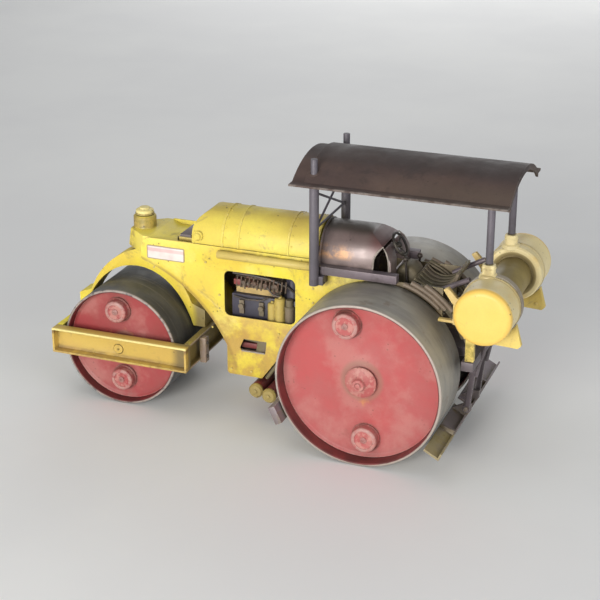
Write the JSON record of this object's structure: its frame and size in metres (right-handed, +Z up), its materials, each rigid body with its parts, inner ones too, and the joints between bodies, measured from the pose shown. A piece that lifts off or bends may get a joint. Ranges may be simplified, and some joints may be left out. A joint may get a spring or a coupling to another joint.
{
  "type": "toy road roller",
  "caption": "Toy road roller with a steered front roll, driven rear rolls, arched canopy and rear tanks.",
  "frame": {"origin": "middle of the bounding box seen from above, on the floor the rolls stand on", "axes": "+X towards the rear of the machine, +Y towards its right side, +Z up"},
  "size_m": [0.323, 0.148, 0.1887],
  "materials": {
    "tread_steel": "worn dark grey tread with scuffs",
    "red_paint": "faded red paint, rust round the hubs",
    "dark_metal": "oily dark metal",
    "wheel_plastic": "matt, worn",
    "yellow_paint": "chipped yellow paint with grey grime",
    "bare_steel": "plain steel",
    "grey_paint": "purple-grey paint, coppery where worn",
    "canopy_paint": "matt brown-grey paint, dusty",
    "olive_paint": "dull olive paint",
    "rusty_iron": "rusty cast metal",
    "tank_red": "dull red with yellow ends"
  },
  "bodies": {
    "chassis": {"axle_housing": "dark_metal", "steering_column": "dark_metal", "side_plate_left": "yellow_paint", "side_plate_right": "yellow_paint", "steering_head": "yellow_paint", "trough_floor": "yellow_paint", "bonnet": "yellow_paint", "belly_pan": "yellow_paint", "side_rail_left": "yellow_paint", "side_rail_right": "yellow_paint", "tank_drum_left": "yellow_paint", "tank_drum_right": "yellow_paint", "tank_core": "yellow_paint", "tank_cradle_left": "yellow_paint", "tank_cradle_right": "yellow_paint", "rear_axle": "bare_steel", "hood": "grey_paint", "hood_ledge_left": "grey_paint", "hood_ledge_right": "grey_paint", "radiator": "grey_paint", "front_post_left": "grey_paint", "front_post_right": "grey_paint", "rear_post_left": "grey_paint", "rear_post_right": "grey_paint", "front_brace": "grey_paint", "rear_beam": "grey_paint", "canopy_roof": "canopy_paint", "cab_floor": "olive_paint", "seat": "olive_paint", "roll_guard_left": "olive_paint", "roll_guard_right": "olive_paint", "engine_block": "olive_paint", "cylinder_head": "rusty_iron", "reservoir_front": "tank_red", "reservoir_rear": "tank_red"},
    "front_bogie": {"front_frame_rail_left": "yellow_paint", "front_frame_rail_right": "yellow_paint", "front_cross_member": "yellow_paint", "rear_cross_member": "yellow_paint", "saddle_arch": "yellow_paint", "kingpin": "yellow_paint", "front_axle": "bare_steel"},
    "front_roll": {"front_roll_tread": "tread_steel", "front_roll_disc_left": "red_paint", "front_roll_disc_right": "red_paint"},
    "rear_roll_left": {"rear_roll_tread_left": "tread_steel", "rear_roll_disc_left": "red_paint", "rear_roll_inner_disc_left": "dark_metal", "rear_hub_cap_left": "red_paint"},
    "rear_roll_right": {"rear_roll_tread_right": "tread_steel", "rear_roll_disc_right": "red_paint", "rear_roll_inner_disc_right": "dark_metal", "rear_hub_cap_right": "red_paint"},
    "steering_wheel_body": {"steering_wheel": "wheel_plastic"},
    "gear_lever_body": {"gear_lever": "dark_metal"},
    "brake_lever_body": {"brake_lever": "dark_metal"},
    "rear_scraper_left_body": {"rear_scraper_left": "grey_paint"},
    "front_scraper_left_body": {"front_scraper_left": "grey_paint"},
    "rear_scraper_right_body": {"rear_scraper_right": "grey_paint"},
    "front_scraper_right_body": {"front_scraper_right": "grey_paint"}
  },
  "joints": [
    {"name": "steer", "type": "hinge", "parent": "chassis", "child": "front_bogie", "pos_m": [-0.1102, 0, 0.11], "axis": [0, 0, 1], "range_deg": [-25, 25]},
    {"name": "front_roll_spin", "type": "hinge", "parent": "front_bogie", "child": "front_roll", "pos_m": [-0.114, 0, 0.0418], "axis": [0, 1, 0], "continuous": true},
    {"name": "rear_roll_left_spin", "type": "hinge", "parent": "chassis", "child": "rear_roll_left", "pos_m": [0.066, -0.045, 0.055], "axis": [0, 1, 0], "continuous": true},
    {"name": "rear_roll_right_spin", "type": "hinge", "parent": "chassis", "child": "rear_roll_right", "pos_m": [0.066, 0.045, 0.055], "axis": [0, 1, 0], "continuous": true},
    {"name": "steering_wheel_turn", "type": "hinge", "parent": "chassis", "child": "steering_wheel_body", "pos_m": [0.0718, 0, 0.1284], "axis": [0.848, 0, 0.5299], "range_deg": [-100, 100]},
    {"name": "gear_lever_tilt", "type": "hinge", "parent": "chassis", "child": "gear_lever_body", "pos_m": [0.081, -0.011, 0.0954], "axis": [0, 1, 0], "range_deg": [-6, 8]},
    {"name": "brake_lever_tilt", "type": "hinge", "parent": "chassis", "child": "brake_lever_body", "pos_m": [0.081, 0.011, 0.0954], "axis": [0, 1, 0], "range_deg": [-6, 8]},
    {"name": "rear_scraper_left_lift", "type": "hinge", "parent": "chassis", "child": "rear_scraper_left_body", "pos_m": [0.1234, -0.0106, 0.026], "axis": [0, -1, 0], "range_deg": [0, 10]},
    {"name": "rear_scraper_right_lift", "type": "hinge", "parent": "chassis", "child": "rear_scraper_right_body", "pos_m": [0.1234, 0.0106, 0.026], "axis": [0, -1, 0], "range_deg": [0, 10]},
    {"name": "front_scraper_left_lift", "type": "hinge", "parent": "chassis", "child": "front_scraper_left_body", "pos_m": [0.006, -0.0106, 0.031], "axis": [0, 1, 0], "range_deg": [0, 10]},
    {"name": "front_scraper_right_lift", "type": "hinge", "parent": "chassis", "child": "front_scraper_right_body", "pos_m": [0.006, 0.0106, 0.031], "axis": [0, 1, 0], "range_deg": [0, 10]}
  ],
  "couplings": [
    {"joint": "steering_wheel_turn", "follows": "steer", "ratio": 4}
  ]
}
